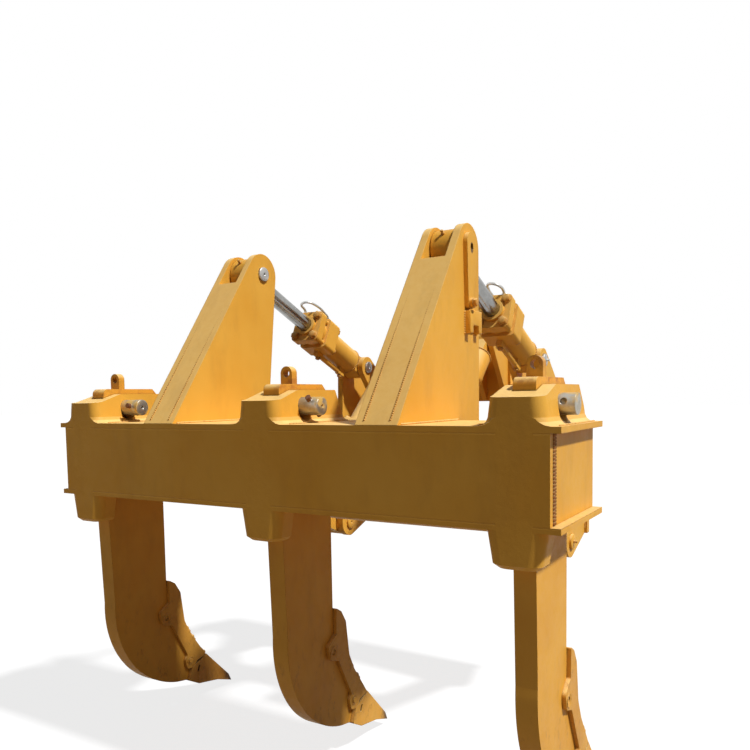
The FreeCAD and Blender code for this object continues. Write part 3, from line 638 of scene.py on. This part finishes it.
# %% [markdown]
# ## Modelling helpers
# Every new piece starts as a primitive at its size and place and is shaped in edit
# mode. The operators act on all that is selected, so each helper first clears the
# selection. At the end a piece's place goes into its mesh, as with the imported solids.

# %% Start, select, settle and fit a piece
def only(piece):
    """Selects one object and makes it the active one."""
    bpy.ops.object.select_all(action="DESELECT")
    piece.select_set(True)
    bpy.context.view_layer.objects.active = piece
    return piece


def begin(name, primitive, **settings):
    """Adds a primitive with nothing else selected, and names it."""
    bpy.ops.object.select_all(action="DESELECT")
    primitive(**settings)
    piece = bpy.context.object
    piece.name = name
    return piece


def settle(piece):
    """Puts a piece's place, turn and size into its mesh."""
    only(piece)
    bpy.ops.object.transform_apply(location=True, rotation=True, scale=True)
    return piece


def choose(piece, test):
    """Opens a piece in edit mode with the faces selected whose centre and normal pass."""
    only(piece)
    bpy.ops.object.mode_set(mode="EDIT")
    bpy.ops.mesh.select_mode(type="FACE")
    bpy.ops.mesh.select_all(action="DESELECT")
    bpy.ops.object.mode_set(mode="OBJECT")
    for face in piece.data.polygons:
        face.select = test(face.center, face.normal)
    bpy.ops.object.mode_set(mode="EDIT")


def done():
    """Closes edit mode."""
    bpy.ops.object.mode_set(mode="OBJECT")


def is_top(centre, normal):
    """True for faces that look up."""
    return normal.z > 0.9


def modified(piece, kind, **settings):
    """Adds a modifier with its settings and applies it."""
    only(piece)
    change = piece.modifiers.new(kind.lower(), kind)
    for key, value in settings.items():
        setattr(change, key, value)
    bpy.ops.object.modifier_apply(modifier=change.name)
    return piece


def smooth_shaded(piece, degrees=40):
    """Shades a piece smooth, but not across edges sharper than an angle."""
    only(piece)
    bpy.ops.object.shade_smooth_by_angle(angle=math.radians(degrees))
    return piece


def softened(piece, width):
    """Rounds sharp edges and shades the rest smooth."""
    modified(piece, "BEVEL", width=width, segments=2, limit_method="ANGLE")
    return smooth_shaded(piece)


def merged(name, pieces):
    """Joins pieces into one object with its place in its mesh."""
    bpy.ops.object.select_all(action="DESELECT")
    for piece in pieces:
        piece.select_set(True)
    bpy.context.view_layer.objects.active = pieces[0]
    if len(pieces) > 1:
        bpy.ops.object.join()
    piece = bpy.context.object
    piece.name = name
    return settle(piece)


def fitted(name, pieces, body, slot, material):
    """One object made of like pieces, on its body, with its finish; slot is not used."""
    piece = merged(name, pieces)
    piece.data.materials.clear()
    piece.data.materials.append(material)
    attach(piece, body)
    print(name, "on", body, len(piece.data.polygons), "faces")
    return piece


def copied(master, place, towards, size=1.0):
    """A copy with its own mesh, its Z turned towards a direction."""
    piece = master.copy()
    piece.data = master.data.copy()
    bpy.context.collection.objects.link(piece)
    turn = Vector(towards).to_track_quat("Z", "Y")
    piece.matrix_world = Matrix.LocRotScale(place, turn, Vector((size, size, size)))
    return piece


print("modelling helpers ready")

# %% [markdown]
# ## Welds
# A weld is a row of overlapping drops. One small sphere is repeated along the joint by
# an Array modifier, or turned round an axis by an empty where a tube is welded on.
# The drops are flattened by sinking them half into the corner that they fill.

# %% One bead row, straight or round
BEAD_STEP = 0.009
BEAD_R = 0.0065


def drop(place, size):
    """One drop of weld metal."""
    bead = begin("weld", bpy.ops.mesh.primitive_uv_sphere_add, segments=8, ring_count=5,
                 radius=size, location=place)
    bpy.ops.object.shade_smooth()
    return bead


def weld(start, end, size=BEAD_R, step=BEAD_STEP):
    """A row of beads from one point to the other."""
    run = Vector(end) - Vector(start)
    return modified(drop(start, size), "ARRAY", use_relative_offset=False, use_constant_offset=True,
                    constant_offset_displace=run.normalized() * step,
                    count=max(2, int(run.length / step) + 1))


def weld_ring(centre, axis, radius, size=BEAD_R):
    """Beads in a circle round an axis."""
    axis = Vector(axis).normalized()
    count = int(2 * math.pi * radius / BEAD_STEP)
    bead = drop(centre, size)
    choose(bead, lambda face_centre, normal: True)
    bpy.ops.transform.translate(value=axis.orthogonal().normalized() * radius)
    done()
    turn = Matrix.Rotation(2 * math.pi / count, 4, axis).to_euler()
    bpy.ops.object.empty_add(location=centre, rotation=turn)
    step = bpy.context.object
    modified(bead, "ARRAY", use_relative_offset=False, use_object_offset=True, offset_object=step,
             count=count)
    bpy.data.objects.remove(step)
    return bead


print("beads of", BEAD_R * 2000, "mm every", BEAD_STEP * 1000, "mm")

# %% [markdown]
# The tower plates stand on the beam and run down its front, the sloped cover is welded
# between them, and each casting is welded in round its foot. The end plate was set back
# in a groove, and that groove holds a rough bead, painted brown as the shade in the
# groove.

# %% Welds on the beam
SIDES = {"left": -1, "right": 1}
SHANK_PLACES = (-1, 0, 1)
SHANK_SPACING = middle("pocket_right").x
TOWER_FACES = (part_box("tower_right")[0].x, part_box("tower_right")[1].x)
TOWER_REAR = 0.030
PLATE_T = 0.032
COVER_EDGES = (TOWER_FACES[0] + PLATE_T, TOWER_FACES[1] - PLATE_T)
COVER_HIGH = 0.620
COVER_TOP_Y = COVER_HIGH / math.tan(math.radians(54.65))
COVER_FOOT = (0.012, 0.018)
COVER_STOP = 0.008
EAR_FACES = (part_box("ear_right")[0].x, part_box("ear_right")[1].x)
FLANGE_CLEAR = 0.022
POCKET_HALF = 0.128
POCKET_RUN = (0.045, 0.430)
BEAD_LIFT = 0.001
COVER_BEAD, THIN_BEAD = 0.004, 0.005
WEB_END = 1.117
GROOVE_LOW, GROOVE_HIGH = 0.028, 0.026
GROOVE_SUNK = 0.45
GROOVE_ROWS = ((0.036, 0.0105, 0.0115), (0.050, 0.0080, 0.0095))

rows, groove_rows = [], []
for side in SIDES.values():
    for x in TOWER_FACES:
        rows.append(weld(at(side * x, TOWER_REAR, BEAD_LIFT), at(side * x, BEAM_DEPTH, BEAD_LIFT)))
    for x in COVER_EDGES:
        rows.append(weld(at(side * x, *COVER_FOOT), at(side * x, COVER_TOP_Y, COVER_HIGH - COVER_STOP),
                         COVER_BEAD))
    for x in (TOWER_FACES[1], COVER_EDGES[1]) + EAR_FACES:
        rows.append(weld(at(side * x, BEAM_DEPTH, -BEAM_HEIGHT + FLANGE_CLEAR),
                         at(side * x, BEAM_DEPTH, -FLANGE_CLEAR)))
    for y, size, step in GROOVE_ROWS:
        x = side * (WEB_END - size * GROOVE_SUNK)
        groove_rows.append(weld(at(x, y, -BEAM_HEIGHT + GROOVE_LOW), at(x, y, -GROOVE_HIGH), size, step))
for place in SHANK_PLACES:
    for way in (-1, 1):
        x = SHANK_SPACING * place + way * POCKET_HALF
        rows.append(weld(at(x, POCKET_RUN[0], 0), at(x, POCKET_RUN[1], 0), THIN_BEAD))
fitted("welds_beam", rows, "beam", "yellow_paint", weld_paint)
fitted("welds_ends", groove_rows, "beam", "yellow_paint", groove_shade_paint)

# %% [markdown]
# The bracket's cheeks and ears stand on the rear face of its mounting plate, and a row
# runs along both sides of each. The table gives where a row starts and stops. The rows
# of the lift ears are not right: they should run from 0.07 to 0.43, and those of the
# outer ears go down the bare plate instead.

# %% Welds on the bracket and the lower frame
MOUNT_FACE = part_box("mount_plate")[0].y
BRACKET_WELDS = {
    "cheek_inner": (-0.07, 0.13),
    "cheek_main": (-0.61, 0.13),
    "cheek_outer": (-0.61, -0.40),
    "lift_ear_inner": (0.10, 0.13),
    "lift_ear_outer": (0.10, -0.40),
}
rows = []
for node in NODES:
    for kind, (first_z, last_z) in BRACKET_WELDS.items():
        if node.startswith(kind):
            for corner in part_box(node):
                rows.append(weld((corner.x, MOUNT_FACE, ORIGIN.z + first_z),
                                 (corner.x, MOUNT_FACE, ORIGIN.z + last_z)))
fitted("welds_bracket", rows, "bracket", "yellow_paint", weld_paint)

TUBE_R = 0.100
tube_low, tube_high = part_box("cross_tube")
rows = [weld_ring(Vector((x, tube_high.y - TUBE_R, tube_low.z + TUBE_R)), (1, 0, 0), TUBE_R + BEAD_LIFT)
        for x in (tube_low.x, tube_high.x)]
fitted("welds_cross_tube", rows, "lower_frame", "yellow_paint", weld_paint)

# %% [markdown]
# ## Axes of the cylinders
# Each cylinder lies on the line from its base pin to its rod's eye. Its head, bolts and
# pipes are placed along that line, measured from the base pin, with one direction along
# the rod, one across and one out of the upper side. The sizes say where the barrel's
# neck, first port, head and the head's front are, how far the head's upper face and its
# bolts are from the axis, and the barrel's radius.

# %% Where each cylinder's parts are
CYLINDER_SIZES = {
    "tilt": {"eye": TOP_PIN, "neck": 0.088, "port": 0.138, "head": 0.335, "front": 0.509,
             "half": 0.083, "stud": 0.057, "radius": 0.070},
    "lift": {"eye": LUG_PIN, "neck": 0.124, "port": 0.174, "head": 0.651, "front": 0.767,
             "half": 0.080, "stud": 0.054, "radius": 0.068},
}
CYLINDERS = []
for kind, sizes in CYLINDER_SIZES.items():
    base = middle(kind + "_pin_right")
    along = Vector((0, sizes["eye"].y - base.y, sizes["eye"].z - base.z)).normalized()
    upper = Vector((0, along.z, -along.y))
    if upper.z < 0:
        upper = -upper
    for side_name, side in SIDES.items():
        place = Vector((middle(kind + "_barrel_" + side_name).x, base.y, base.z))
        CYLINDERS.append({"kind": kind, "side": side, "base": place, "along": along,
                          "upper": upper, **sizes})
        print(kind, side_name, [round(v, 3) for v in place])


def of_kind(kind):
    """The two cylinders of one kind."""
    return [cylinder for cylinder in CYLINDERS if cylinder["kind"] == kind]


def on_cylinder(cylinder, run, across, up):
    """A place on a cylinder, from its base pin."""
    return cylinder["base"] + cylinder["along"] * run + Vector((across, 0, 0)) + cylinder["upper"] * up


for kind in CYLINDER_SIZES:
    rings = []
    for cylinder in of_kind(kind):
        for run in (cylinder["neck"], cylinder["head"]):
            rings.append(weld_ring(on_cylinder(cylinder, run, 0, 0), cylinder["along"],
                                   cylinder["radius"] + BEAD_LIFT, THIN_BEAD))
    fitted("welds_%s_barrels" % kind, rings, kind + "_barrels", "yellow_paint", weld_paint)

# %% [markdown]
# ## Bolts
# A hexagon bolt is a six-sided cylinder whose top is inset and raised to a chamfer, on
# a turned washer. It is modelled once and copied. Four bolts clamp the two halves of
# every cylinder head, and one holds each flag plate of the tower pins. In front of the
# lift cylinders' heads the heads are low ones, because the lugs of the cross tube come
# close to them when the beam is lifted all the way.

# %% One bolt with its washer
HEX_R, HEX_H = 0.0205, 0.015
HEX_CROWN = 0.0016
WASHER_R, WASHER_T = 0.0225, 0.004
WASHER_EDGE, WASHER_CROWN = 0.0012, 0.0004

bolt = begin("bolt", bpy.ops.mesh.primitive_cylinder_add, vertices=6, radius=HEX_R, depth=HEX_H,
             location=(0, 0, WASHER_T + HEX_H / 2))
settle(bolt)
choose(bolt, is_top)
bpy.ops.mesh.inset(thickness=HEX_R * 0.15)
bpy.ops.transform.translate(value=(0, 0, HEX_CROWN))
done()
softened(bolt, 0.0009)
washer = begin("washer", bpy.ops.mesh.primitive_cylinder_add, vertices=28, radius=WASHER_R,
               depth=WASHER_T, location=(0, 0, WASHER_T / 2))
settle(washer)
choose(washer, is_top)
bpy.ops.mesh.inset(thickness=WASHER_EDGE)
bpy.ops.transform.translate(value=(0, 0, WASHER_CROWN))
done()
softened(washer, 0.0005)
bolt = merged("bolt", [bolt, washer])
print("bolt:", len(bolt.data.polygons), "faces")

# %% Bolts on the cylinder heads and flags
FRONT_BOLT = {"tilt": 1.0, "lift": 0.45}
FLAG_BOLT = 0.78
FLAG_END_R = 0.024

for kind in CYLINDER_SIZES:
    heads = []
    for cylinder in of_kind(kind):
        spots = ((cylinder["front"], cylinder["along"], FRONT_BOLT[kind]),
                 (cylinder["head"], -cylinder["along"], 1.0))
        for across in (-cylinder["stud"], cylinder["stud"]):
            for up in (-cylinder["stud"], cylinder["stud"]):
                for run, towards, size in spots:
                    heads.append(copied(bolt, on_cylinder(cylinder, run, across, up), towards, size))
    fitted("bolts_%s_heads" % kind, heads, kind + "_barrels", "yellow_paint", bolt_paint)

flag_low, flag_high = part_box("tower_pin_right")
heads = []
for side in SIDES.values():
    place = Vector((side * flag_high.x, flag_low.y + FLAG_END_R, flag_low.z + FLAG_END_R))
    heads.append(copied(bolt, place, (side, 0, 0), FLAG_BOLT))
fitted("bolts_flags", heads, "beam", "yellow_paint", bolt_paint)

# %% [markdown]
# ## Keepers
# Below each flag plate a small block with a notch is welded to the tower, which keeps
# the flag from swinging. The notch is a Boolean cut, because its square corners are
# milled, and the block's own edges are then rounded.

# %% Keeper blocks
KEEPER_SIZE = Vector((0.026, 0.112, 0.088))
NOTCH_SIZE = Vector((0.060, 0.052, 0.060))
KEEPER_TOP = 0.425
KEEPER_Y = 0.598
KEEPER_ROUND = 0.003

keepers = []
for side in SIDES.values():
    x = side * (TOWER_FACES[1] + KEEPER_SIZE.x / 2)
    block_z = KEEPER_TOP - KEEPER_SIZE.z / 2
    keeper = begin("keeper", bpy.ops.mesh.primitive_cube_add, size=1, location=at(x, KEEPER_Y, block_z),
                   scale=KEEPER_SIZE)
    settle(keeper)
    notch = begin("notch", bpy.ops.mesh.primitive_cube_add, size=1,
                  location=at(x, KEEPER_Y, KEEPER_TOP - KEEPER_SIZE.z), scale=NOTCH_SIZE)
    settle(notch)
    modified(keeper, "BOOLEAN", operation="DIFFERENCE", solver="EXACT", object=notch)
    bpy.data.objects.remove(notch)
    keepers.append(softened(keeper, KEEPER_ROUND))
    for y in (KEEPER_Y - KEEPER_SIZE.y / 2, KEEPER_Y + KEEPER_SIZE.y / 2):
        keepers.append(weld(at(side * TOWER_FACES[1], y, KEEPER_TOP - KEEPER_SIZE.z),
                            at(side * TOWER_FACES[1], y, KEEPER_TOP), THIN_BEAD))
fitted("flag_keepers", keepers, "beam", "yellow_paint", plate_paint)

# %% [markdown]
# ## Turned pin ends
# A pin's end is faced in a lathe: it has a chamfer, a flat ring and a small centre
# hole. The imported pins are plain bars, so a thin turned end goes onto each of them.
# Grease fittings stand in the middle of the pins that the links turn on.

# %% One turned end, a unit across its radius
END_T = 0.05
END_RISE = 0.12
END_STEPS = ((0.09, 0.06), (0.70, 0.0), (0.04, -0.05), (0.08, -0.06))
TURNED_SHARP = 35

turned_end = begin("turned_end", bpy.ops.mesh.primitive_cylinder_add, vertices=48, radius=1,
                   depth=END_T, location=(0, 0, END_T / 2))
settle(turned_end)
for inset, rise in END_STEPS:
    choose(turned_end, lambda centre, normal: normal.z > 0.99 and centre.xy.length < 0.01)
    bpy.ops.mesh.inset(thickness=inset)
    bpy.ops.transform.translate(value=(0, 0, rise))
    done()
smooth_shaded(turned_end, TURNED_SHARP)
print("turned end:", len(turned_end.data.polygons), "faces")

# %% One grease fitting, a hexagon with a ball on a neck
FITTING_R, FITTING_H = 0.0065, 0.007
FITTING_INSET = 0.002
FITTING_STEPS = ((0.005, 1.0), (0.001, 1.35), (0.003, 1.0), (0.0015, 0.55))

fitting = begin("fitting", bpy.ops.mesh.primitive_cylinder_add, vertices=6, radius=FITTING_R,
                depth=FITTING_H, location=(0, 0, FITTING_H / 2))
settle(fitting)
choose(fitting, is_top)
bpy.ops.mesh.inset(thickness=FITTING_INSET)
for rise, grow in FITTING_STEPS:
    bpy.ops.mesh.extrude_region_move(TRANSFORM_OT_translate={"value": (0, 0, rise)})
    bpy.ops.transform.resize(value=(grow, grow, 1))
done()
softened(fitting, 0.0004)
print("fitting:", len(fitting.data.polygons), "faces")

# %% Put them on the pins
PIN_FITTING, EYE_FITTING = 1.3, 1.2
PIN_ENDS = (
    ("rear_pin", "rear_pins", "pin_steel", pin_steel),
    ("front_pin", "bracket", "yellow_paint", plate_paint),
    ("tilt_pin", "tilt_pins", "pin_steel", pin_steel),
    ("lift_pin", "bracket", "pin_steel", pin_steel),
    ("tower_stub", "beam", "pin_steel", pin_steel),
    ("shank_pin", "beam", "pin_steel", shank_pin_steel),
)
GREASED = {"rear_pin": ("yellow_paint", bolt_paint), "front_pin": ("yellow_paint", bolt_paint),
           "tilt_pin": ("pin_steel", pipe_steel)}
for start, body, slot, finish in PIN_ENDS:
    ends, fittings = [], []
    for node in NODES:
        if not node.startswith(start):
            continue
        low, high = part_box(node)
        axis = middle(node)
        radius = (high.z - low.z) / 2
        outside = 1 if axis.x > 0 else -1
        if start == "shank_pin":
            radius, axis = SHANK_PIN_R, SHANK_PIN
        for way, x in ((-1, low.x), (1, high.x)):
            if start == "tower_stub" and way == outside:
                continue
            if node == "shank_pin_right" and way > 0:
                x -= radius * END_RISE
            place = Vector((x, axis.y, axis.z))
            ends.append(copied(turned_end, place, (way, 0, 0), radius))
            if start in GREASED and way == outside:
                fittings.append(copied(fitting, place, (way, 0, 0), PIN_FITTING))
    fitted("ends_%ss" % start, ends, body, slot, finish)
    if fittings:
        fitted("grease_%ss" % start, fittings, body, *GREASED[start])

# %% Fittings on the eyes of the tilt rods
EYE_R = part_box("tilt_rod_right")[1].z - TOP_PIN.z
EYE_OUT = Vector((0, -0.75, 0.66)).normalized()
FITTING_SUNK = 0.001
fittings = []
for side_name in SIDES:
    eye = Vector((middle("tilt_rod_" + side_name).x, TOP_PIN.y, TOP_PIN.z))
    fittings.append(copied(fitting, eye + EYE_OUT * (EYE_R - FITTING_SUNK), EYE_OUT, EYE_FITTING))
fitted("grease_tilt_rods", fittings, "tilt_rods", "yellow_paint", bolt_paint)

# %% [markdown]
# ## Teeth
# The guards' leading edges are built up with hard weld metal, so that they wear slowly:
# short welds run across them, some worn down. Each guard is held by pins in bosses, whose
# raised rims show as rings. The rim is a cylinder whose top is inset and sunk.

# %% Rims of the guards' pins
GUARD_CHEEK_X = 0.0535
GUARD_REACH = 0.238
SHANK_FRONT_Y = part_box("guard_right")[1].y - GUARD_REACH
RIMS = ((-0.020, -0.984, 0.026), (0.130, -1.248, 0.021))
RIM_T = 0.005
RIM_EDGE, RIM_LAND = 0.12, 0.28
RIM_SINK = 0.9

rim = begin("rim", bpy.ops.mesh.primitive_cylinder_add, vertices=32, radius=1, depth=RIM_T,
            location=(0, 0, 0))
settle(rim)
choose(rim, is_top)
bpy.ops.mesh.inset(thickness=RIM_EDGE)
bpy.ops.mesh.inset(thickness=RIM_LAND)
bpy.ops.transform.translate(value=(0, 0, -RIM_T * RIM_SINK))
done()
smooth_shaded(rim, TURNED_SHARP)
print("rim:", len(rim.data.polygons), "faces")

# %% Hard facing, and the rims in their places
GUARD_EDGE = ((0.088, -0.960), (0.098, -1.030), (0.137, -1.108), (0.238, -1.247))
FACING_STEP = 0.021
FACING_HALF = 0.045
FACING_SUNK = 0.004
FACING_TILT = 0.004
FACING_BEAD, FACING_GROWTH = 0.0070, 0.0065
FACING_RUN = 0.0085
SHORT_LEFT, SHORT_RIGHT = 0.012, 0.010

facing, rims = [], []
for place in SHANK_PLACES:
    x = SHANK_SPACING * place
    for start, end in zip(GUARD_EDGE, GUARD_EDGE[1:]):
        count = round(math.dist(start, end) / FACING_STEP)
        for step in range(count):
            share = (step + 0.5) / count
            # Uneven but the same in every run: 0 is worn down, 1 is full.
            full = 0.5 + 0.5 * math.sin(7.3 * step + 40 * start[0] + 5 * place)
            y = SHANK_FRONT_Y + start[0] + (end[0] - start[0]) * share - FACING_SUNK
            z = ORIGIN.z + start[1] + (end[1] - start[1]) * share
            left = (x - FACING_HALF + SHORT_LEFT * full, y, z)
            right = (x + FACING_HALF - SHORT_RIGHT * (1 - full), y, z + FACING_TILT * full)
            facing.append(weld(left, right, FACING_BEAD + FACING_GROWTH * full, FACING_RUN))
    for way in (-1, 1):
        for y, z, size in RIMS:
            spot = Vector((x + way * GUARD_CHEEK_X, SHANK_FRONT_Y + y, ORIGIN.z + z))
            piece = copied(rim, spot, (way, 0, 0))
            piece.scale = (size, size, 1)
            rims.append(piece)
fitted("hard_facing", facing, "beam", "yellow_paint", tooth_paint)
fitted("guard_rims", rims, "beam", "yellow_paint", tooth_paint)

# %% [markdown]
# ## Pipes and plugs on the cylinders
# A short steel pipe crosses over the tilt cylinder's head from one port to the other.
# It is bent by hand, so it is drawn as a smooth Bezier curve with a round section and
# turned into a mesh, because it is stiff and carries no slack. Hexagon plugs close the
# ports on the other side of each barrel.

# %% Bent pipes over the heads
PIPE_R = 0.0065


def pipe(points, radius):
    """A bent steel pipe through given points."""
    bpy.ops.object.select_all(action="DESELECT")
    bpy.ops.curve.primitive_bezier_curve_add()
    piece = bpy.context.object
    line = piece.data.splines[0]
    line.bezier_points.add(len(points) - len(line.bezier_points))
    for knot, point in zip(line.bezier_points, points):
        knot.co = piece.matrix_world.inverted() @ Vector(point)
        knot.handle_left_type = knot.handle_right_type = "AUTO"
    piece.data.bevel_depth = radius
    piece.data.bevel_resolution = 3
    piece.data.resolution_u = 8
    piece.data.use_fill_caps = True
    bpy.ops.object.convert(target="MESH")
    return bpy.context.object


LOOP = ((0.39, -0.035, 0.080), (0.395, -0.036, 0.100), (0.44, -0.038, 0.112), (0.52, -0.036, 0.113),
        (0.565, -0.018, 0.108), (0.572, 0.010, 0.103), (0.555, 0.032, 0.100), (0.515, 0.038, 0.098),
        (0.492, 0.037, 0.080))
PIPE_NUT, PLUG = 0.72, 0.6
NUT_SUNK = 0.001
PORT_IN_HEAD = 0.026
PORT_OUT = 0.039

pipes, nuts = [], []
for cylinder in of_kind("tilt"):
    side = cylinder["side"]
    pipes.append(pipe([on_cylinder(cylinder, run, side * across, up) for run, across, up in LOOP], PIPE_R))
    for run, across, up in (LOOP[0], LOOP[-1]):
        place = on_cylinder(cylinder, run, side * across, cylinder["half"] - NUT_SUNK)
        nuts.append(copied(bolt, place, cylinder["upper"], PIPE_NUT))
fitted("head_pipes", pipes, "tilt_barrels", "pin_steel", pipe_steel)
fitted("head_pipe_nuts", nuts, "tilt_barrels", "pin_steel", pipe_steel)

# %% Plugs in the ports
for kind in CYLINDER_SIZES:
    plugs = []
    for cylinder in of_kind(kind):
        for run in (cylinder["port"], cylinder["head"] + PORT_IN_HEAD):
            place = on_cylinder(cylinder, run, 0, -(cylinder["radius"] + PORT_OUT))
            plugs.append(copied(bolt, place, -cylinder["upper"], PLUG))
    fitted("port_plugs_" + kind, plugs, kind + "_barrels", "yellow_paint", bolt_paint)

for master in (bolt, turned_end, fitting, rim):
    bpy.data.objects.remove(master)
print("masters removed")
